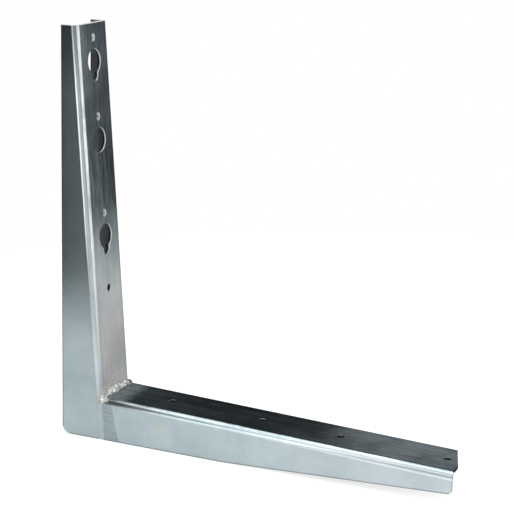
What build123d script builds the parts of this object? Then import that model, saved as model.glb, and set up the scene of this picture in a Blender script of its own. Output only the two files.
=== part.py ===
from build123d import *
import os

# Bench bracket: two tapered channels of bent sheet steel, butted and welded into an L.
# Millimetres. X runs out from the wall along the arm, Y across the width, Z up.
# The origin is the bottom centre of the bracket's box, half way along the arm.

# Sheet and section, the same for both channels
sheet = 3.0                    # thickness of the steel
width = 52.0                   # outside width across the side plates
bend_radius = 5.0              # outside radius of the long bends beside each web

# Upright channel, open towards the wall
upright_height = 350.0
foot_depth = 40.5              # wall edge to web face, at the foot
top_depth = 14.0               # wall edge to web face, at the top
heel_radius = 8.0              # rounded corner of the side plates at the foot

# Arm channel, open downwards
arm_reach = 347.0              # wall edge to tip
root_depth = 38.5              # lower edge to web face, carried back to the wall edge
tip_depth = 27.0               # lower edge line to web face, at the tip
relief_start = 150.0           # distance from the wall where the lower edge starts to rise
relief_rise = 9.0              # how far the lower edge has risen at the tip
tip_radius = 5.0               # rounded lower corner of the side plates at the tip
tip_cut = 11.5                 # how far the far corner of the tip is cut back
tip_square = 13.0              # width of the tip that is left square, from the near side

# Holes in the upright's web, placed along the web from its foot
large_hole_diameter = 21.0
slot_width = 9.5
slot_drop = 11.25              # centre of the large hole to centre of the slot's round end
lone_pilot_station = 128.0     # small hole with no large one beside it
lower_keyhole_station = 173.0
round_hole_station = 254.5
upper_keyhole_inset = 30.5     # upper keyhole, down from the upright's height
pilot_offset = 19.5            # small hole above each large one
screw_hole_diameter = 6.5

# Screw holes in the arm's web, placed along the web from the wall edge
arm_hole_1_station = 92.5
arm_hole_2_station = 175.5
arm_hole_3_station = 244.0
arm_hole_4_inset = 12.5        # outermost hole, back from the arm's reach

# Weld across the inner corner
bead_radius = 4.5
bead_inset = 1.5               # bead's ends, in from the outside of the side plates
bead_end_radius = 2.0

# The web faces are straight lines in the side view, and meet in the inner corner.
wall_x = -arm_reach / 2
tip_x = arm_reach / 2
foot_x = wall_x + foot_depth
upright_lean = (foot_depth - top_depth) / upright_height
arm_fall = (root_depth - tip_depth) / arm_reach
corner_x = wall_x + (foot_depth - upright_lean * root_depth) / (1 - upright_lean * arm_fall)
corner_z = root_depth - arm_fall * (corner_x - wall_x)

# Work planes lie on the two web faces, with their local Y running along the web.
upright_web = Plane(origin=(foot_x, 0, 0), x_dir=(0, 1, 0), z_dir=(1, 0, upright_lean))
arm_web = Plane(origin=(wall_x, 0, root_depth), x_dir=(0, -1, 0), z_dir=(arm_fall, 0, 1))
through_web = -2 * sheet

keyhole_stations = [lower_keyhole_station, upright_height - upper_keyhole_inset]
large_stations = keyhole_stations + [round_hole_station]
small_stations = [lone_pilot_station] + [s + pilot_offset for s in large_stations]
arm_stations = [arm_hole_1_station, arm_hole_2_station, arm_hole_3_station]
arm_stations.append(arm_reach - arm_hole_4_inset)


def long_web_edges(form, direction):
    """The two long edges of the web face that looks towards the given axis."""
    web = form.faces().sort_by(direction)[-1]
    return web.edges().filter_by(Axis.Y, reverse=True)


# Outer form of the upright, also used to trim the welds
with BuildPart() as upright_form:
    with BuildSketch(Plane.XZ):
        with BuildLine():
            Polyline(
                (wall_x, 0),
                (foot_x, 0),
                (wall_x + top_depth, upright_height),
                (wall_x, upright_height),
                close=True,
            )
        make_face()
    extrude(amount=width / 2, both=True)
    fillet(long_web_edges(upright_form, Axis.X), radius=bend_radius)

# Outer form of the arm, carried back to the wall edge
with BuildPart() as arm_form:
    with BuildSketch(Plane.XZ):
        with BuildLine():
            Polyline(
                (wall_x, 0),
                (wall_x + relief_start, 0),
                (tip_x, relief_rise),
                (tip_x, tip_depth),
                (wall_x, root_depth),
                close=True,
            )
        make_face()
    extrude(amount=width / 2, both=True)
    fillet(long_web_edges(arm_form, Axis.Z), radius=bend_radius)

# Upright channel
with BuildPart() as upright_channel:
    add(upright_form.part)
    ends = upright_channel.faces().filter_by(Axis.Z)
    wall_side = upright_channel.faces().sort_by(Axis.X)[0]
    offset(amount=-sheet, openings=[*ends, wall_side])
    wall_corners = upright_channel.edges().filter_by(Axis.Y).group_by(Axis.X)[0]
    fillet(wall_corners.sort_by(Axis.Z)[:2], radius=heel_radius)
    # Keyholes, with their slots pointing at the foot
    with BuildSketch(upright_web):
        for station in keyhole_stations:
            with Locations((0, station)):
                Circle(large_hole_diameter / 2)
            with Locations((0, station - slot_drop / 2)):
                SlotCenterToCenter(slot_drop, slot_width, rotation=90)
    extrude(amount=through_web, mode=Mode.SUBTRACT)
    # Round hole between the keyholes
    with BuildSketch(upright_web):
        with Locations((0, round_hole_station)):
            Circle(large_hole_diameter / 2)
    extrude(amount=through_web, mode=Mode.SUBTRACT)
    # Small holes
    with BuildSketch(upright_web):
        with Locations([(0, station) for station in small_stations]):
            Circle(screw_hole_diameter / 2)
    extrude(amount=through_web, mode=Mode.SUBTRACT)

# Arm channel, with its end cut to lie against the upright's web
with BuildPart() as arm_channel:
    add(arm_form.part)
    underside = arm_channel.faces().filter_by(lambda f: f.normal_at().Z < -0.5)
    back = arm_channel.faces().sort_by(Axis.X)[0]
    tip = arm_channel.faces().sort_by(Axis.X)[-1]
    offset(amount=-sheet, openings=[*underside, back, tip])
    split(bisect_by=upright_web, keep=Keep.TOP)
    tip_corners = arm_channel.edges().filter_by(Axis.Y).group_by(Axis.X)[-1]
    fillet(tip_corners.sort_by(Axis.Z)[:2], radius=tip_radius)
    # Far corner of the tip, cut back on a slant
    with BuildSketch(Plane.XY):
        with BuildLine():
            Polyline(
                (tip_x, tip_square - width / 2),
                (tip_x - tip_cut, width / 2),
                (tip_x, width / 2),
                close=True,
            )
        make_face()
    extrude(amount=root_depth, mode=Mode.SUBTRACT)
    # Screw holes
    with BuildSketch(arm_web):
        with Locations([(0, station) for station in arm_stations]):
            Circle(screw_hole_diameter / 2)
    extrude(amount=through_web, mode=Mode.SUBTRACT)

# Seam welds fill the groove beside each bend of the upright, ground flush with both channels.
with BuildPart() as seam_fill:
    add(arm_form.part)
    split(bisect_by=upright_web, keep=Keep.BOTTOM)
    add(upright_form.part, mode=Mode.SUBTRACT)

with BuildPart() as near_seam_weld:
    add(seam_fill.part)
    split(bisect_by=Plane.XZ, keep=Keep.TOP)

with BuildPart() as far_seam_weld:
    add(seam_fill.part)
    split(bisect_by=Plane.XZ, keep=Keep.BOTTOM)

# Bead across the inner corner, running down over the bends at both ends
with BuildPart() as corner_weld:
    with BuildSketch(Plane.XZ):
        with Locations((corner_x, corner_z)):
            Circle(bead_radius)
    extrude(amount=width / 2 - bead_inset, both=True)
    fillet(corner_weld.edges().filter_by(GeomType.CIRCLE), radius=bead_end_radius)
    add(upright_form.part, mode=Mode.SUBTRACT)
    add(arm_form.part, mode=Mode.SUBTRACT)

pieces = {
    "upright_channel": upright_channel,
    "arm_channel": arm_channel,
    "corner_weld": corner_weld,
    "near_seam_weld": near_seam_weld,
    "far_seam_weld": far_seam_weld,
}
os.makedirs("parts", exist_ok=True)
for name, piece in pieces.items():
    piece.part.label = name
    export_step(piece.part, f"parts/{name}.step")
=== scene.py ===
import math

import bpy
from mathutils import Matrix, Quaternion, Vector


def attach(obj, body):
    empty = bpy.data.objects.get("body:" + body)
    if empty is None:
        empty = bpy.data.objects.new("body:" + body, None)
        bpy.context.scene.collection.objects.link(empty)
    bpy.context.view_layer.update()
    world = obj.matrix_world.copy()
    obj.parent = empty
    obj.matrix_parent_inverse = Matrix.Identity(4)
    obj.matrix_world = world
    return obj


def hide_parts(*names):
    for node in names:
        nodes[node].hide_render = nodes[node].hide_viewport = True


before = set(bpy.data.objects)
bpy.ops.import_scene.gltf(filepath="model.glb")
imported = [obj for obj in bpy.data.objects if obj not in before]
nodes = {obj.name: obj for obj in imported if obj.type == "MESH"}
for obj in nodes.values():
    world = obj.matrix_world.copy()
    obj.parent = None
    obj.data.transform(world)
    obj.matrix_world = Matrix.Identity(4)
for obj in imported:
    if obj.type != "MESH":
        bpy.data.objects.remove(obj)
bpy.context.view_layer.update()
print("frame loaded:", ", ".join(sorted(nodes)))

# Lines of the bracket that the finishes follow, in metres
bracket = {
    "wallX": -0.1735,
    "tipX": 0.1735,
    "halfWidth": 0.026,
    "footDepth": 0.0405,
    "upright": 0.350,
    "lean": 0.0265 / 0.350,      # upright's web leans towards the wall
    "rootDepth": 0.0385,
    "fall": 0.0115 / 0.347,      # arm's web falls towards the tip
    "reliefStart": 0.150,        # from here the arm's lower edge rises
    "reliefSlope": 0.009 / 0.197,
}

# Inner corner, where the two web faces meet
cornerX = bracket["wallX"] + (bracket["footDepth"] - bracket["lean"] * bracket["rootDepth"]) / (
    1.0 - bracket["lean"] * bracket["fall"])
cornerZ = bracket["rootDepth"] - bracket["fall"] * (cornerX - bracket["wallX"])


# Camera

photoCamera = {
    "aim": (-0.037915, 0.073072, 0.150722),
    "azimuth": 22.5955,          # degrees from the near side plate towards the tip
    "elevation": 14.6402,
    "roll": 1.6315,
    "distance": 1.339684,
    "lens": 108.764,
    "sensor": 36.0,
}


def addCamera(spec):
    azimuth = math.radians(spec["azimuth"])
    elevation = math.radians(spec["elevation"])
    away = Vector((
        math.sin(azimuth) * math.cos(elevation),
        -math.cos(azimuth) * math.cos(elevation),
        math.sin(elevation),
    ))
    data = bpy.data.cameras.new("photoCamera")
    data.lens = spec["lens"]
    data.sensor_width = spec["sensor"]
    camera = bpy.data.objects.new("photoCamera", data)
    camera.location = Vector(spec["aim"]) + away * spec["distance"]
    camera.rotation_mode = "QUATERNION"
    roll = Quaternion((0.0, 0.0, 1.0), math.radians(spec["roll"]))
    camera.rotation_quaternion = away.to_track_quat("Z", "Y") @ roll
    bpy.context.scene.collection.objects.link(camera)
    bpy.context.scene.camera = camera


addCamera(photoCamera)
print("camera placed")


# Node helpers

class Graph:
    # a node tree under construction

    def __init__(self, tree):
        self.tree = tree

    def node(self, kind, inputs=None, **settings):
        made = self.tree.nodes.new(kind)
        for name, value in settings.items():
            setattr(made, name, value)
        for key, value in (inputs or {}).items():
            self.feed(made.inputs[key], value)
        return made

    def feed(self, socket, value):
        # links another node's output, or sets a constant
        if isinstance(value, bpy.types.NodeSocket):
            self.tree.links.new(value, socket)
        else:
            socket.default_value = value

    def joined(self, x=0.0, y=0.0, z=0.0):
        return self.node("ShaderNodeCombineXYZ", {"X": x, "Y": y, "Z": z}).outputs[0]

    def axes(self, place):
        return self.node("ShaderNodeSeparateXYZ", {0: place}).outputs

    def math(self, operation, *values):
        return self.node("ShaderNodeMath", dict(enumerate(values)), operation=operation).outputs[0]

    def add(self, first, second):
        return self.math("ADD", first, second)

    def less(self, first, second):
        return self.math("SUBTRACT", first, second)

    def times(self, *factors):
        product = factors[0]
        for factor in factors[1:]:
            product = self.math("MULTIPLY", product, factor)
        return product

    def scaled(self, value, factor, base):
        # value times factor, plus base
        return self.math("MULTIPLY_ADD", value, factor, base)

    def between(self, share, low, high):
        return self.scaled(share, high - low, low)


class Shader(Graph):
    # a material under construction

    def __init__(self, name):
        self.material = bpy.data.materials.new(name)
        self.material.use_nodes = True
        super().__init__(self.material.node_tree)
        self.surface = self.tree.nodes["Principled BSDF"]
        self.output = self.tree.nodes["Material Output"]

    def ramp(self, value, start, end, low=0.0, high=1.0):
        # low at the start, high at the end, smooth between them
        made = self.node("ShaderNodeMapRange", {
            "Value": value, "From Min": start, "From Max": end, "To Min": low, "To Max": high,
        }, interpolation_type="SMOOTHSTEP")
        return made.outputs["Result"]

    def mix(self, amount, first, second, kind="RGBA", blend="MIX"):
        made = self.node("ShaderNodeMix", data_type=kind, blend_type=blend)
        for name, value in (("Factor", amount), ("A", first), ("B", second)):
            self.feed(made.inputs[name], value)
        return made.outputs["Result"]

    def place(self):
        return self.node("ShaderNodeTexCoord").outputs["Object"]

    def stretched(self, place, scale):
        return self.node("ShaderNodeMapping", {"Vector": place, "Scale": scale}).outputs[0]

    def noise(self, place, scale, detail, roughness):
        made = self.node("ShaderNodeTexNoise", {
            "Vector": place, "Scale": scale, "Detail": detail, "Roughness": roughness,
        })
        return made.outputs[0]

    def ragged(self, value, noise, amount):
        # the value, moved either way by a noise, by up to half the amount
        return self.scaled(noise, amount, self.less(value, amount / 2.0))


# Steel. A pair of distances is where a finish starts and where it is full, and a noise is given by
# its scale, detail and roughness.

# Shared by both channels and the seam welds
steelLook = {
    "plateLight": (0.470, 0.560, 0.590, 1.0),
    "plateDark": (0.370, 0.450, 0.475, 1.0),
    "webLight": (0.500, 0.585, 0.620, 1.0),
    "webDark": (0.235, 0.290, 0.315, 1.0),
    "plateFrom": (0.0030, 0.0005),       # side plates, in from their outer faces
    "plateRoughness": 0.220,
    "webRoughness": 0.245,
    "roughSpread": 0.28,                 # how far the streaks change the roughness
    "plateStreak": 0.05,                 # how much the brushing shows on the side plates
    "webStreak": 0.55,                   # and on the webs
    "plateSpread": 0.14,                 # the smaller, the stronger the streaks of tone
    "fine": (950.0, 3.0, 0.6),
    "fineShare": 0.45,                   # the other part of the streaks is coarse
    "clouds": (26.0, 5.0, 0.62),
    "cloudShare": 0.45,
    "streakHeight": 0.000035,
    "crown": 0.85,                       # webs stand very slightly proud in the middle
    "bendFrom": (0.0062, 0.0045),        # long bends, in from both of their faces
    "bendTint": (0.88, 0.805, 0.785),    # a neutral white in the light
    "edgeRadius": 0.0009,
    "edgeSamples": 6,
    "edgeTurn": (0.985, 0.96),           # likeness of the flat normal and the rounded one
    "edgeLine": (0.0012, 0.0005),        # thin brownish line along the free edges
    "edgeTone": (0.50, 0.475, 0.44),
    "cutFrom": (0.0004, 0.0001),         # sheared ends of the sheet
    "cutBright": (0.86, 0.87, 0.87, 1.0),
    "cutRoughness": 0.5,
    "cutMetal": 0.35,
}

# Dull inner faces of the channels, darkened as painted shade
insideShadeLook = {
    "behind": (-0.0025, -0.0029),        # in from the web's outer face
    "between": (0.0024, 0.0028),         # and from the side plates'
    "tone": 0.42,
    "roughness": 0.45,
    "metal": 0.80,
}

# Walls of the holes: painted shade on the walls, painted glints on some
holeLook = {
    "web": (0.0058, 0.0064),             # holes lie further in from the side plates than this
    "outer": (-0.00004, -0.00012),       # depths of the wall's outer and inner ends
    "inner": (-0.0030, -0.0028),
    # painted shade on the walls
    "dark": (0.018, 0.020, 0.022, 1.0),
    "glintNoise": (640.0, 2.0, 0.5),      # painted glints, in patches on the pale walls
    "glintRange": (0.42, 0.56, 0.22, 1.15),
}

# Dull, mottled webs beside the weld
heatLook = {
    "patches": (330.0, 4.0, 0.7),
    "patchRange": (0.36, 0.64),
    "wander": 0.016,
    "seam": (-0.0004, 0.0),
    "roughness": 0.62,
    "arm": {
        "reach": (0.027, 0.000),         # out along the arm's web from the seam
        "colour": (0.118, 0.134, 0.126),
        "mottle": 0.50,
        "metal": 0.35,
    },
    "upright": {
        "reach": (0.018, 0.004),         # and up the upright's web
        "colour": (0.345, 0.335, 0.325),
        "mottle": 0.14,
        "metal": 0.05,
    },
}

# Bright and dark specks where the bead's ends were dressed back
sparkLook = {
    "middle": (0.0008, 0.0020, 0.0010),  # out from the corner, in from the side plate, down
    "reach": (0.0058, 0.0018),
    "edgeNoise": (380.0, 3.0, 0.7),
    "wander": 0.008,
    "specks": (1500.0, 2.0, 0.8),
    "speckRange": (0.49, 0.54),
    "bright": (1.0, 1.0, 0.98, 1.0),
    "dark": (0.06, 0.065, 0.06, 1.0),
    "roughness": 0.36,
    "metal": 0.15,
    "height": 0.00025,
}


def inFrom(distances):
    # places across the width, from distances in from a side plate's outer face
    return [bracket["halfWidth"] - distance for distance in distances]


def brushedSteel(name, look, own):
    # running colour, roughness, metal and height of one steel surface
    shader = Shader(name)
    place = shader.place()
    axes = shader.axes(place)
    drawn = shader.stretched(place, own["stretch"])
    fine = shader.noise(drawn, *look["fine"])
    coarse = shader.times(shader.noise(drawn, *own["coarse"]), 1.0 - look["fineShare"])
    streaks = shader.scaled(fine, look["fineShare"], coarse)
    uneven = shader.less(streaks, 0.5)
    clouds = shader.less(shader.noise(place, *look["clouds"]), 0.5)
    cloudy = shader.times(clouds, look["cloudShare"])
    across = shader.math("ABSOLUTE", axes["Y"])
    onPlate = shader.ramp(across, *inFrom(look["plateFrom"]))
    tones = {}
    for part, spread in (("plate", look["plateSpread"]), ("web", own["webSpread"])):
        tone = shader.scaled(uneven, look[part + "Streak"], cloudy)
        if part == "web" and "webTone" in own:
            tone = shader.times(tone, shader.ramp(axes["Z"], *own["webTone"]))
        share = shader.ramp(tone, -spread, spread)
        tones[part] = shader.mix(share, look[part + "Dark"], look[part + "Light"])
    brushing = shader.between(onPlate, look["webStreak"], look["plateStreak"])
    smooth = shader.between(onPlate, look["webRoughness"], look["plateRoughness"])
    rise = shader.times(streaks, brushing, look["streakHeight"])
    crown = shader.times(axes["Y"], axes["Y"], -look["crown"])
    return {
        "shader": shader,
        "place": place,
        "axes": axes,
        "across": across,
        "onPlate": onPlate,
        "onWeb": shader.less(1.0, onPlate),
        "colour": shader.mix(onPlate, tones["web"], tones["plate"]),
        "rough": shader.scaled(uneven, shader.times(brushing, look["roughSpread"]), smooth),
        "metal": 1.0,
        "height": shader.add(rise, crown),
        "rounding": 1.0,     # how much of the rounded edges is kept
    }


def uprightDepth(steel):
    # distance out from the upright's web face, below 0 on the wall side
    shader, axes = steel["shader"], steel["axes"]
    reach = shader.scaled(axes["Z"], bracket["lean"], axes["X"])
    return shader.less(reach, bracket["wallX"] + bracket["footDepth"])


def armDepth(steel):
    # distance up from the arm's web face, below 0 under it
    shader, axes = steel["shader"], steel["axes"]
    drop = shader.scaled(axes["X"], bracket["fall"], axes["Z"])
    return shader.less(drop, bracket["rootDepth"] + bracket["fall"] * bracket["wallX"])


def blendIn(steel, mask, colour=None, rough=None, metal=None):
    # lays a finish over the steel where the mask is 1
    shader = steel["shader"]
    if colour is not None:
        steel["colour"] = shader.mix(mask, steel["colour"], colour)
    for quality, value in (("rough", rough), ("metal", metal)):
        if value is not None:
            change = shader.less(value, steel[quality])
            steel[quality] = shader.scaled(mask, change, steel[quality])


def toned(steel, tone):
    # the running colour, times one number or three
    tint = tone if isinstance(tone, tuple) else (tone, tone, tone)
    return steel["shader"].mix(1.0, steel["colour"], (*tint, 1.0), blend="MULTIPLY")


def shaded(colour, share):
    return (*(part * share for part in colour), 1.0)


def bendZone(steel, depth):
    # 1 round a channel's long bends, 0 further in from its corners
    shader = steel["shader"]
    start, full = steelLook["bendFrom"]
    outer = shader.ramp(steel["across"], *inFrom((start, full)))
    return shader.times(shader.ramp(depth, -start, -full), outer)


def dullShadedInside(steel, depth, look):
    # rougher, less metallic inner faces, with painted shade
    shader = steel["shader"]
    behind = shader.ramp(depth, *look["behind"])
    inside = shader.times(behind, shader.ramp(steel["across"], *inFrom(look["between"])))
    blendIn(steel, inside, toned(steel, look["tone"]), look["roughness"], look["metal"])
    return inside


def holeWalls(steel, depth, look, own, pale=None):
    # painted shade on each hole's wall under a band of the rim colour (on the upright pale sheared
    # steel that also stands in for a highlight), and painted glints in patches where asked
    shader = steel["shader"]
    within = shader.times(shader.ramp(depth, *look["outer"]), shader.ramp(depth, *look["inner"]))
    wall = shader.times(within, shader.ramp(steel["across"], *inFrom(look["web"])))
    bright = shader.ramp(depth, *own["rim"])
    if pale is not None:
        glints = shader.ramp(shader.noise(steel["place"], *look["glintNoise"]), *look["glintRange"])
        bright = shader.math("MAXIMUM", bright, shader.times(pale, glints))
    colour = shader.mix(bright, look["dark"], own["rimColour"])
    blendIn(steel, wall, colour, steelLook["cutRoughness"], steelLook["cutMetal"])


def cutEnd(steel, place, end, look):
    # pale sheared end of the sheet
    mask = steel["shader"].ramp(place, *(end - distance for distance in look["cutFrom"]))
    blendIn(steel, mask, look["cutBright"], look["cutRoughness"], look["cutMetal"])


def darkEdge(steel, distance, look):
    line = steel["shader"].ramp(distance, *look["edgeLine"])
    blendIn(steel, line, toned(steel, look["edgeTone"]))


def heatStain(steel, distance, look, zone):
    shader = steel["shader"]
    patches = shader.noise(steel["place"], *look["patches"])
    reached = shader.ramp(shader.ragged(distance, patches, look["wander"]), *zone["reach"])
    stain = shader.times(reached, steel["onWeb"], shader.ramp(distance, *look["seam"]))
    mottled = shader.mix(
        shader.ramp(patches, *look["patchRange"]),
        shaded(zone["colour"], 1.0 - zone["mottle"]),
        shaded(zone["colour"], 1.0 + zone["mottle"]),
    )
    blendIn(steel, stain, mottled, look["roughness"], zone["metal"])


def sparkle(steel, look):
    shader, axes = steel["shader"], steel["axes"]
    out, inward, down = look["middle"]
    beadEnd = (cornerX + out, bracket["halfWidth"] - inward, cornerZ - down)
    folded = shader.joined(axes["X"], steel["across"], axes["Z"])
    away = shader.node("ShaderNodeVectorMath", {0: folded, 1: beadEnd}, operation="DISTANCE")
    specks = shader.noise(steel["place"], *look["specks"])
    wander = shader.noise(steel["place"], *look["edgeNoise"])
    near = shader.ramp(shader.ragged(away.outputs["Value"], wander, look["wander"]), *look["reach"])
    colour = shader.mix(shader.ramp(specks, *look["speckRange"]), look["dark"], look["bright"])
    blendIn(steel, near, colour, look["roughness"], look["metal"])
    rise = shader.times(specks, near)
    steel["height"] = shader.scaled(rise, look["height"], steel["height"])


def finishSteel(steel, look):
    # rounds the look of the sheet's edges and sets the surface
    shader = steel["shader"]
    flat = shader.node("ShaderNodeNewGeometry").outputs["Normal"]
    bevel = shader.node(
        "ShaderNodeBevel", {"Radius": look["edgeRadius"]}, samples=look["edgeSamples"])
    edge = bevel.outputs[0]
    likeness = shader.node("ShaderNodeVectorMath", {0: flat, 1: edge}, operation="DOT_PRODUCT")
    turned = shader.ramp(likeness.outputs["Value"], *look["edgeTurn"])
    sharp = shader.times(turned, steel["rounding"])
    bump = shader.node("ShaderNodeBump", {
        "Height": steel["height"], "Distance": 1.0, "Strength": 1.0,
        "Normal": shader.mix(sharp, flat, edge, kind="VECTOR"),
    })
    surface = shader.surface.inputs
    shader.feed(surface["Base Color"], steel["colour"])
    shader.feed(surface["Roughness"], steel["rough"])
    shader.feed(surface["Metallic"], steel["metal"])
    shader.feed(surface["Normal"], bump.outputs[0])
    return shader.material


# Upright channel

uprightLook = {
    "stretch": (1.0, 1.0, 0.02),         # brushed along its height
    "coarse": (230.0, 3.0, 0.6),
    "webSpread": 0.16,
    # between these heights the streaks of tone go from faint to strong
    "webTone": (0.08, 0.27, 0.38, 1.45),
    "bendShare": 0.8,                    # the bends keep free of this much of the warm tint
    "warmFrom": (0.22, 0.08),            # web towards the weld
    "warmTint": (1.14, 0.99, 0.92),
    "topShadeFrom": (0.29, 0.352),            # painted shade: side plates darker towards the top
    "topShadeTone": 0.50,
    "sheenRise": (0.10, 0.15),          # and get a painted reflection, a little paler, between these heights
    "sheenFall": (0.26, 0.20),
    "sheenTint": (1.21, 1.23, 1.21),
    "insideShadeFrom": (0.20, 0.29),          # painted shade: insides darker towards the top
    "insideShadeTone": 0.55,
    "rim": (-0.0010, -0.0006),
    "rimColour": (0.86, 0.87, 0.87, 1.0),
    "paleHoles": (0.1919, 0.2732, 0.3380),   # heights of the small holes whose walls get painted glints
    "paleFrom": (0.0046, 0.0042),
}


def uprightSteel(look, own):
    steel = brushedSteel("uprightSteel", look, own)
    shader, height, onPlate = steel["shader"], steel["axes"]["Z"], steel["onPlate"]
    depth = uprightDepth(steel)
    bend = bendZone(steel, depth)
    blendIn(steel, bend, toned(steel, look["bendTint"]))
    flatPart = shader.times(steel["onWeb"], shader.scaled(bend, -own["bendShare"], 1.0))
    warm = shader.times(shader.ramp(height, *own["warmFrom"]), flatPart)
    blendIn(steel, warm, toned(steel, own["warmTint"]))
    # painted shade, darker towards the top of the side plates
    topShade = shader.times(shader.ramp(height, *own["topShadeFrom"]), onPlate)
    blendIn(steel, topShade, toned(steel, own["topShadeTone"]))
    # painted reflection: side plates a little paler between two heights
    rise, fall = shader.ramp(height, *own["sheenRise"]), shader.ramp(height, *own["sheenFall"])
    blendIn(steel, shader.times(rise, fall, onPlate), toned(steel, own["sheenTint"]))
    heatStain(steel, armDepth(steel), heatLook, heatLook["upright"])
    sparkle(steel, sparkLook)
    # painted shade inside the channel, deeper towards the top
    inside = dullShadedInside(steel, depth, insideShadeLook)
    shade = shader.times(inside, shader.ramp(height, *own["insideShadeFrom"]))
    blendIn(steel, shade, toned(steel, own["insideShadeTone"]))
    nearest = bracket["upright"]
    for middle in own["paleHoles"]:
        apart = shader.math("ABSOLUTE", shader.less(height, middle))
        nearest = shader.math("MINIMUM", nearest, apart)
    holeWalls(steel, depth, holeLook, own, shader.ramp(nearest, *own["paleFrom"]))
    darkEdge(steel, shader.less(steel["axes"]["X"], bracket["wallX"]), look)
    darkEdge(steel, height, look)
    cutEnd(steel, height, bracket["upright"], look)
    return finishSteel(steel, look)


# Arm channel

armLook = {
    "stretch": (0.02, 1.0, 1.0),         # brushed along its length
    "coarse": (140.0, 3.0, 0.6),
    "webSpread": 0.085,
    "dustFrom": (0.16, 0.03),            # web is a little less mirror-like towards the seam
    "dustMetal": 0.975,
    "tipFrom": (-0.05, 0.16),            # side plates are less blue towards the tip
    "tipTint": (0.87, 0.81, 0.82),
    "seamBend": (0.070, 0.020),          # bends take the upright's tint near the seam
    "rim": (-0.0005, -0.0001),
    "rimColour": (0.20, 0.21, 0.21, 1.0),
    "roundFrom": (0.0008, 0.0016),       # its edge at the seam is flush with the weld
}

# Painted highlight and painted shade lines along the arm's bends, by their distance under the web's
# face
bendLightLook = {
    "foot": -0.0049,
    "footSlope": -0.006,                 # deeper towards the tip
    "width": (0.0012, 0.0003),
    "lines": (                           # a painted highlight towards the tip, a painted shade line towards the seam
        {"lift": 0.0, "along": (-0.02, 0.12), "tone": (1.38, 1.36, 1.34)},
        {"lift": 0.0014, "along": (0.06, -0.04), "tone": 0.70},
    ),
    "crown": (-0.0040, -0.0030),         # painted highlight on top of the bends, brighter towards the tip
    "crownAlong": (0.03, 0.14),
    "crownHighlightTone": (1.28, 1.26, 1.24),
}

# Painted shade along the near bend, under its highlight, near the seam
bendShadeLook = {
    "reach": (0.058, 0.012),             # out along the bend from the seam
    "stretch": (0.35, 1.0, 1.0),
    "patches": (420.0, 3.0, 0.6),
    "wander": 0.030,
    "top": (-0.0009, -0.0017),
    "foot": -0.0046,
    "footSlope": 0.030,
    "footEdge": (-0.0003, 0.0005),
    "side": (0.0045, 0.0035),
    "colour": (0.085, 0.100, 0.105, 1.0),
    "roughness": 0.40,
}

# Dried water mark on the near side plate
markLook = {
    "middle": (-0.0810, 0.0200),
    "reach": (0.0062, 0.0085),
    "noise": (260.0, 3.0, 0.6),
    "wander": 1.6,
    "edge": (2.1, 1.1),
    "nearSide": (0.001, -0.001),
    "tone": (1.05, 1.01, 0.94),
}

# Ground band on the side plates beside the seam, with a painted highlight line along its edge
groundLook = {
    "width": 0.0143,                     # at the foot
    "narrowing": -0.147,
    "noise": (90.0, 2.0, 0.5),
    "noiseStretch": (0.0, 0.0, 1.0),
    "wander": 0.003,
    "side": (0.0006, 0.0001),
    "edge": (0.0003, -0.0003),
    "seam": (-0.0006, -0.0001),
    "border": (0.0009, 0.0004),
    "borderHighlightTone": 1.12,
    "scores": (620.0, 2.0, 0.5),
    "scoreStretch": (0.05, 1.0, 1.0),
    "scoreRange": (0.36, 0.64),
    "scoreTones": (0.6688, 0.8512),
    "scoreRoughness": (0.30, 0.42),
    "scoreHeight": 0.00003,
}

# Painted shade on the square part of the web's end
tipShadeLook = {
    "width": ((-0.0115, -0.0135), (-0.0235, -0.0225)),
    "back": (0.0018, 0.0012),
    "depth": (-0.0012, -0.0006),
    "colour": (0.02, 0.02, 0.02, 1.0),
}


def bendLines(steel, depth, look):
    # painted highlight and painted shade along the bends
    shader, along = steel["shader"], steel["axes"]["X"]
    above = shader.less(depth, shader.scaled(along, look["footSlope"], look["foot"]))
    for line in look["lines"]:
        apart = shader.math("ABSOLUTE", shader.less(above, line["lift"]))
        part = shader.times(shader.ramp(apart, *look["width"]), steel["onPlate"])
        mask = shader.times(part, shader.ramp(along, *line["along"]))
        blendIn(steel, mask, toned(steel, line["tone"]))
    crown = shader.times(shader.ramp(depth, *look["crown"]), bendZone(steel, depth))
    mask = shader.times(crown, shader.ramp(along, *look["crownAlong"]))
    blendIn(steel, mask, toned(steel, look["crownHighlightTone"]))


def bendTint(steel, fromSeam, depth, look):
    # painted shade: a dark band along the near bend, near the seam
    shader = steel["shader"]
    patches = shader.noise(shader.stretched(steel["place"], look["stretch"]), *look["patches"])
    reached = shader.ramp(shader.ragged(fromSeam, patches, look["wander"]), *look["reach"])
    foot = shader.scaled(fromSeam, look["footSlope"], look["foot"])
    band = shader.times(
        shader.ramp(depth, *look["top"]),
        shader.ramp(shader.less(depth, foot), *look["footEdge"]),
        shader.ramp(steel["axes"]["Y"], *(-place for place in inFrom(look["side"]))),
    )
    blendIn(steel, shader.times(band, reached), look["colour"], look["roughness"])


def waterMark(steel, look):
    shader, axes = steel["shader"], steel["axes"]
    outward = 0.0
    for axis, middle, reach in zip("XZ", look["middle"], look["reach"]):
        apart = shader.math("DIVIDE", shader.less(axes[axis], middle), reach)
        outward = shader.scaled(apart, apart, outward)
    noise = shader.noise(steel["place"], *look["noise"])
    spot = shader.ramp(shader.scaled(noise, look["wander"], outward), *look["edge"])
    mask = shader.times(spot, steel["onPlate"], shader.ramp(axes["Y"], *look["nearSide"]))
    blendIn(steel, mask, toned(steel, look["tone"]))


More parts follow.
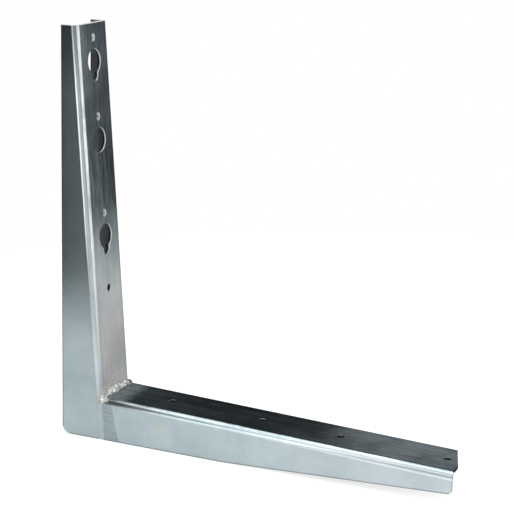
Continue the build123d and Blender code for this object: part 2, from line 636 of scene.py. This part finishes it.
def groundBand(steel, depth, look):
    shader, axes, place = steel["shader"], steel["axes"], steel["place"]
    edge = shader.scaled(axes["Z"], look["narrowing"], look["width"])
    noise = shader.noise(shader.stretched(place, look["noiseStretch"]), *look["noise"])
    past = shader.less(depth, shader.ragged(edge, noise, look["wander"]))
    side = shader.ramp(steel["across"], *inFrom(look["side"]))
    band = shader.times(shader.ramp(past, *look["edge"]), side, shader.ramp(depth, *look["seam"]))
    # painted highlight along the band's edge
    border = shader.times(shader.ramp(shader.math("ABSOLUTE", past), *look["border"]), side)
    blendIn(steel, border, toned(steel, look["borderHighlightTone"]))
    scores = shader.noise(shader.stretched(place, look["scoreStretch"]), *look["scores"])
    scores = shader.ramp(scores, *look["scoreRange"])
    colour = shader.mix(scores, *(toned(steel, tone) for tone in look["scoreTones"]))
    blendIn(steel, band, colour, shader.between(scores, *look["scoreRoughness"]))
    steel["height"] = shader.add(steel["height"], shader.times(scores, band, look["scoreHeight"]))


def tipShade(steel, depth, look):
    # painted shade on the square part of the web's end
    shader, axes = steel["shader"], steel["axes"]
    back = (bracket["tipX"] - distance for distance in look["back"])
    mask = shader.times(shader.ramp(axes["X"], *back), shader.ramp(depth, *look["depth"]))
    for bound in look["width"]:
        mask = shader.times(mask, shader.ramp(axes["Y"], *bound))
    blendIn(steel, mask, look["colour"])


def armSteel(look, own):
    steel = brushedSteel("armSteel", look, own)
    shader, axes = steel["shader"], steel["axes"]
    depth = armDepth(steel)
    fromSeam = uprightDepth(steel)
    dusty = shader.times(shader.ramp(fromSeam, *own["dustFrom"]), steel["onWeb"])
    blendIn(steel, dusty, metal=own["dustMetal"])
    towardTip = shader.times(shader.ramp(axes["X"], *own["tipFrom"]), steel["onPlate"])
    blendIn(steel, towardTip, toned(steel, own["tipTint"]))
    nearSeam = shader.times(shader.ramp(fromSeam, *own["seamBend"]), bendZone(steel, depth))
    blendIn(steel, nearSeam, toned(steel, look["bendTint"]))
    bendLines(steel, depth, bendLightLook)
    waterMark(steel, markLook)
    groundBand(steel, fromSeam, groundLook)
    heatStain(steel, fromSeam, heatLook, heatLook["arm"])
    bendTint(steel, fromSeam, depth, bendShadeLook)
    sparkle(steel, sparkLook)
    dullShadedInside(steel, depth, insideShadeLook)
    holeWalls(steel, depth, holeLook, own)
    past = shader.less(axes["X"], bracket["wallX"] + bracket["reliefStart"])
    rise = shader.math("MAXIMUM", shader.times(past, bracket["reliefSlope"]), 0.0)
    darkEdge(steel, shader.less(axes["Z"], rise), look)
    darkEdge(steel, shader.less(bracket["tipX"], axes["X"]), look)
    cutEnd(steel, axes["X"], bracket["tipX"], look)
    tipShade(steel, depth, tipShadeLook)
    steel["rounding"] = shader.ramp(fromSeam, *own["roundFrom"])
    return finishSteel(steel, look)


# Seam welds, ground flush with both channels

seamLook = {
    "stretch": (1.0, 1.0, 0.02),
    "coarse": (230.0, 3.0, 0.6),
    "webSpread": 0.16,
}


def seamSteel(look, own):
    steel = brushedSteel("seamSteel", look, own)
    sparkle(steel, sparkLook)
    steel["rounding"] = 0.0
    return finishSteel(steel, look)


def dress(material, *names):
    for name in names:
        for holder in nodes[name].material_slots:
            holder.material = material


dress(uprightSteel(steelLook, uprightLook), "upright_channel")
dress(armSteel(steelLook, armLook), "arm_channel")
dress(seamSteel(steelLook, seamLook), "near_seam_weld", "far_seam_weld")
print("steel dressed")


# Weld across the inner corner

weldLook = {
    "colour": (0.88, 0.89, 0.88, 1.0),
    "stain": (0.42, 0.43, 0.42, 1.0),
    "spots": (330.0, 4.0, 0.68),
    "spotRange": (0.38, 0.60),
    "grain": (1500.0, 2.0, 0.5),
    "farEndDark": (0.05, 0.05, 0.05, 1.0),     # darker towards the bead's far end
    "farEndDarkFrom": (0.0190, 0.0225),
    "roughness": (0.38, 0.63),
    "metal": 0.75,
    "spotHeight": 0.00025,
    "grainHeight": 0.00005,
    "bumpStrength": 0.8,
}

cornerBead = {
    # far end to near end, then down over the near bend, with the swelling
    "path": [
        (cornerX + 0.0004, 0.0236, cornerZ - 0.0004, 0.85),
        (cornerX + 0.0004, 0.0180, cornerZ + 0.0006, 1.10),
        (cornerX + 0.0004, -0.0150, cornerZ + 0.0006, 1.10),
        (cornerX + 0.0012, -0.0220, cornerZ - 0.0006, 0.60),
        (cornerX + 0.0022, -0.0238, cornerZ - 0.0020, 0.50),
    ],
    # inputs of the bead's node tree
    "inputs": {
        "Ripples": 26,
        "Radius": 0.0062,
        "Thickness": 0.0023,
        "Lean": 0.5,
        "Uneven": 0.18,
        "Voxel": 0.00030,
        "Seed": 7,
        "Side": bracket["halfWidth"] - 0.0001,   # the bead keeps within the side plates
    },
    "rounds": 3,                 # subdivisions of one ripple
    "threshold": 0.3,            # of the volume that fuses them
}


def weldMaterial(look):
    shader = Shader("weldMetal")
    place = shader.place()
    surface = shader.surface.inputs
    spots = shader.noise(place, *look["spots"])
    grain = shader.noise(place, *look["grain"])
    colour = shader.mix(shader.ramp(spots, *look["spotRange"]), look["stain"], look["colour"])
    farEnd = shader.ramp(shader.axes(place)["Y"], *look["farEndDarkFrom"])
    height = shader.times(spots, look["spotHeight"])
    height = shader.scaled(grain, look["grainHeight"], height)
    bump = shader.node("ShaderNodeBump", {
        "Height": height, "Distance": 1.0, "Strength": look["bumpStrength"],
    })
    shader.feed(surface["Base Color"], shader.mix(farEnd, colour, look["farEndDark"]))
    shader.feed(surface["Metallic"], look["metal"])
    shader.feed(surface["Roughness"], shader.between(spots, *look["roughness"]))
    shader.feed(surface["Normal"], bump.outputs[0])
    return shader.material


class Tree(Graph):
    # a geometry node tree under construction, with named inputs

    def __init__(self, name, sizes):
        super().__init__(bpy.data.node_groups.new(name, "GeometryNodeTree"))
        for way in ("INPUT", "OUTPUT"):
            self.tree.interface.new_socket("Geometry", in_out=way, socket_type="NodeSocketGeometry")
        for label, value in sizes.items():
            kind = "NodeSocketInt" if isinstance(value, int) else "NodeSocketFloat"
            self.tree.interface.new_socket(label, in_out="INPUT", socket_type=kind)
        self.entry = self.tree.nodes.new("NodeGroupInput").outputs
        self.exit = self.tree.nodes.new("NodeGroupOutput").inputs


def beadTree(spec, material):
    tree = Tree("weldBeadNodes", spec["inputs"])
    entry = tree.entry
    path = tree.node("GeometryNodeResampleCurve", {
        "Curve": entry["Geometry"], "Count": entry["Ripples"],
    })
    scale = tree.joined(entry["Radius"], entry["Radius"], entry["Thickness"])
    ball = tree.node("GeometryNodeMeshIcoSphere", {"Radius": 1.0, "Subdivisions": spec["rounds"]})
    shaped = tree.node("GeometryNodeTransform", {"Geometry": ball.outputs["Mesh"], "Scale": scale})

    # each ripple stands across the path, leans along it and has its own size
    along = tree.node("GeometryNodeInputTangent").outputs[0]
    turn = tree.node("FunctionNodeAlignRotationToVector", {"Vector": along}, axis="Z")
    tilt = tree.node("FunctionNodeEulerToRotation", {0: tree.joined(entry["Lean"])})
    leaning = tree.node("FunctionNodeRotateRotation", {
        "Rotation": turn.outputs[0], "Rotate By": tilt.outputs[0],
    }, rotation_space="LOCAL")
    random = tree.node("FunctionNodeRandomValue", {
        "Min": tree.less(1.0, entry["Uneven"]),
        "Max": tree.add(1.0, entry["Uneven"]),
        "Seed": entry["Seed"],
    }, data_type="FLOAT")
    swelling = tree.node("GeometryNodeInputRadius").outputs[0]
    laid = tree.node("GeometryNodeInstanceOnPoints", {
        "Points": path.outputs[0], "Instance": shaped.outputs[0], "Rotation": leaning.outputs[0],
        "Scale": tree.times(random.outputs["Value"], swelling),
    })

    # fused into one skin
    real = tree.node("GeometryNodeRealizeInstances", {"Geometry": laid.outputs[0]})
    volume = tree.node("GeometryNodeMeshToVolume", {
        "Mesh": real.outputs[0], "Voxel Size": entry["Voxel"],
    }, resolution_mode="VOXEL_SIZE")
    fused = tree.node("GeometryNodeVolumeToMesh", {
        "Volume": volume.outputs[0], "Voxel Size": entry["Voxel"], "Threshold": spec["threshold"],
    }, resolution_mode="VOXEL_SIZE")

    # and held within the side plates
    place = tree.axes(tree.node("GeometryNodeInputPosition").outputs[0])
    low = tree.math("MAXIMUM", place["Y"], tree.times(entry["Side"], -1.0))
    held = tree.joined(place["X"], tree.math("MINIMUM", low, entry["Side"]), place["Z"])
    flush = tree.node("GeometryNodeSetPosition", {"Geometry": fused.outputs[0], "Position": held})
    smooth = tree.node("GeometryNodeSetShadeSmooth", {"Geometry": flush.outputs[0]})
    done = tree.node("GeometryNodeRealizeInstances", {"Geometry": smooth.outputs[0]})
    finish = tree.node("GeometryNodeSetMaterial", {
        "Geometry": done.outputs[0], "Material": material,
    })
    tree.feed(tree.exit[0], finish.outputs[0])
    return tree.tree


def addBead(name, spec, material):
    curve = bpy.data.curves.new(name + "Path", "CURVE")
    curve.dimensions = "3D"
    spline = curve.splines.new("POLY")
    spline.points.add(len(spec["path"]) - 1)
    for point, (x, y, z, swelling) in zip(spline.points, spec["path"]):
        point.co = (x, y, z, 1.0)
        point.radius = swelling
    path = bpy.data.objects.new(name + "Path", curve)
    bpy.context.scene.collection.objects.link(path)
    modifier = path.modifiers.new("bead", "NODES")
    modifier.node_group = beadTree(spec, material)
    for item in modifier.node_group.interface.items_tree:
        if item.name in spec["inputs"]:
            modifier[item.identifier] = spec["inputs"][item.name]
    bpy.context.view_layer.update()
    solved = path.evaluated_get(bpy.context.evaluated_depsgraph_get())
    mesh = bpy.data.meshes.new_from_object(solved)
    bead = bpy.data.objects.new(name, mesh)
    bpy.context.scene.collection.objects.link(bead)
    bpy.data.objects.remove(path)
    return bead


cornerWeld = addBead("cornerWeldBead", cornerBead, weldMaterial(weldLook))
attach(cornerWeld, "root")
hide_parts("corner_weld")
print("corner weld laid:", len(cornerWeld.data.polygons), "faces")


# Studio: a round white table in a dark room, photographed against white

studio = {
    "tableMiddle": (0.081, 0.162),
    "tableRadius": 0.702,
    "tableSides": 96,
    "tableHeight": -0.0002,
    "tableColour": (0.40, 0.40, 0.40, 1.0),
    "tableRoughness": 0.9,
    "tableGlow": 0.72,           # as the camera sees it
    "shine": 0.59,               # as the steel sees it, beside the arm's root
    "shineSlope": 0.95,          # brighter towards the tip
    "shineLeast": 0.05,
    "roomRadius": 4.0,
    "roomRings": 24,
    "roomColour": (0.013, 0.015, 0.017, 1.0),
    "white": (1.0, 1.0, 1.0, 1.0),
    "fill": 0.55,
}

# Patches of the table that the steel sees lighter or darker: the change, then the patch's bounds,
# each a direction across the table (X, Y) and the distances along it where the patch starts and
# where it is full
tablePatches = {
    "behind": (-0.33, [((0.0, 1.0), 0.03, 0.18)]),
    "farEdge": (0.38, [((0.0, 1.0), 0.45, 0.90)]),
    "behindCorner": (-0.22, [((0.0, 1.0), 0.06, 0.14), ((1.0, -0.25), -0.10, -0.15)]),
    "front": (0.56, [
        ((0.0, 1.0), -0.11, -0.17), ((1.0, -0.5), -0.115, -0.07), ((1.0, 0.0), 0.09, 0.03)]),
    "tip": (0.22, [((1.0, 0.0), 0.04, 0.13), ((0.0, 1.0), -0.20, -0.10), ((0.0, 1.0), 0.20, 0.10)]),
}

# Soft panels: place of the middle, point each faces, width and height, power in watts
lamps = {
    "overhead": {
        "place": (-0.25, -0.02, 1.6), "aim": (-0.25, -0.02, 0.0),
        "size": (1.30, 1.65), "power": 16.8,
    },
    "frontTop": {
        "place": (-0.12, -0.75, 0.70), "aim": (-0.10, 0.0, 0.40),
        "size": (0.56, 0.60), "power": 0.9,
    },
    "frontLow": {
        "place": (0.175, -0.62, 0.30), "aim": (-0.15, 0.0, 0.28),
        "size": (0.71, 0.60), "power": 1.35,
    },
    "frontEdge": {
        "place": (-0.285, -0.72, 0.15), "aim": (-0.15, 0.0, 0.15),
        "size": (0.25, 0.30), "power": 0.66,
    },
    "frontGlint": {
        "place": (-0.195, -0.66, 0.31), "aim": (-0.195, 0.0, 0.31),
        "size": (0.18, 0.34), "power": 0.20,
    },
    "frontHigh": {
        "place": (-0.42, -0.82, 1.10), "aim": (0.02, 0.0, 0.035),
        "size": (0.50, 0.60), "power": 0.95,
    },
    "frontLeft": {
        "place": (-0.28, -0.72, 0.36), "aim": (0.02, 0.0, 0.035),
        "size": (0.30, 0.14), "power": 0.12,
    },
    "right": {
        "place": (0.58, 0.12, 0.21), "aim": (-0.15, 0.0, 0.21),
        "size": (1.05, 0.42), "power": 2.7,
    },
    "rightHigh": {
        "place": (0.57, 0.12, 0.30), "aim": (-0.15, 0.0, 0.30),
        "size": (1.05, 0.24), "power": 0.40,
    },
    "backHigh": {
        "place": (0.42, 1.25, 0.30), "aim": (-0.16, 0.0, 0.33),
        "size": (0.50, 0.36), "power": 0.06,
    },
    "back": {
        "place": (-0.125, 1.34, 0.62), "aim": (0.10, 0.0, 0.03),
        "size": (0.43, 0.48), "power": 0.21,
    },
}


def addLamp(name, spec):
    data = bpy.data.lights.new(name, "AREA")
    data.shape = "RECTANGLE"
    data.size, data.size_y = spec["size"]
    data.energy = spec["power"]
    lamp = bpy.data.objects.new(name, data)
    lamp.location = spec["place"]
    toward = Vector(spec["place"]) - Vector(spec["aim"])
    lamp.rotation_mode = "QUATERNION"
    lamp.rotation_quaternion = toward.to_track_quat("Z", "Y")
    lamp.visible_camera = False
    bpy.context.scene.collection.objects.link(lamp)


def seenDirectly(graph, path):
    # 1 where a camera, glossy or transmission ray arrives, else 0
    seen = graph.math("MAXIMUM", path["Is Camera Ray"], path["Is Glossy Ray"])
    return graph.math("MAXIMUM", seen, path["Is Transmission Ray"])


def roundPlate(name, spec):
    mesh = bpy.data.meshes.new(name)
    (middleX, middleY), radius, sides = spec["tableMiddle"], spec["tableRadius"], spec["tableSides"]
    points = []
    for i in range(sides):
        turn = 2.0 * math.pi * i / sides
        across, along = radius * math.cos(turn), radius * math.sin(turn)
        points.append((middleX + across, middleY + along, spec["tableHeight"]))
    mesh.from_pydata(points, [], [tuple(range(sides))])
    made = bpy.data.objects.new(name, mesh)
    bpy.context.scene.collection.objects.link(made)
    return made


def tableShine(shader, spec, patches):
    # the table's light in the steel
    axes = shader.axes(shader.place())
    shine = shader.scaled(axes["X"], spec["shineSlope"], spec["shine"])
    for change, bounds in patches.values():
        patch = 1.0
        for (alongX, alongY), start, full in bounds:
            along = shader.scaled(axes["Y"], alongY, shader.times(axes["X"], alongX))
            patch = shader.times(patch, shader.ramp(along, start, full))
        shine = shader.scaled(patch, change, shine)
    return shader.math("MAXIMUM", shine, spec["shineLeast"])


def addTable(spec, patches):
    table = roundPlate("tableTop", spec)
    shader = Shader("paleTable")
    surface = shader.surface.inputs
    shader.feed(surface["Base Color"], spec["tableColour"])
    shader.feed(surface["Roughness"], spec["tableRoughness"])
    shader.feed(surface["Emission Color"], spec["white"])
    path = shader.node("ShaderNodeLightPath").outputs
    shine = tableShine(shader, spec, patches)
    toCamera = shader.less(spec["tableGlow"], shine)
    glow = shader.scaled(path["Is Camera Ray"], toCamera, shine)
    shader.feed(surface["Emission Strength"], shader.times(seenDirectly(shader, path), glow))
    table.data.materials.append(shader.material)


def addRoom(spec):
    rings = spec["roomRings"]
    bpy.ops.mesh.primitive_uv_sphere_add(
        segments=2 * rings, ring_count=rings, radius=spec["roomRadius"])
    room = bpy.context.object
    room.name = "darkRoom"
    shader = Shader("darkRoom")
    glow = shader.node("ShaderNodeEmission", {"Color": spec["roomColour"], "Strength": 1.0})
    shader.feed(shader.output.inputs["Surface"], glow.outputs[0])
    shader.tree.nodes.remove(shader.surface)
    room.data.materials.append(shader.material)
    room.visible_camera = False
    room.visible_diffuse = False
    room.visible_shadow = False


def addWorld(spec):
    # white where it is seen directly, weaker as fill light
    world = bpy.data.worlds.new("whiteWorld")
    world.use_nodes = True
    graph = Graph(world.node_tree)
    background = graph.tree.nodes["Background"].inputs
    path = graph.node("ShaderNodeLightPath").outputs
    strength = graph.node("ShaderNodeMapRange", {
        "Value": seenDirectly(graph, path), "To Min": spec["fill"],
    })
    graph.feed(background["Color"], spec["white"])
    graph.feed(background["Strength"], strength.outputs[0])
    bpy.context.scene.world = world


addTable(studio, tablePatches)
addRoom(studio)
addWorld(studio)
for lampName, lampSpec in lamps.items():
    addLamp(lampName, lampSpec)
bpy.context.scene.view_settings.view_transform = "Standard"
print("studio lit")
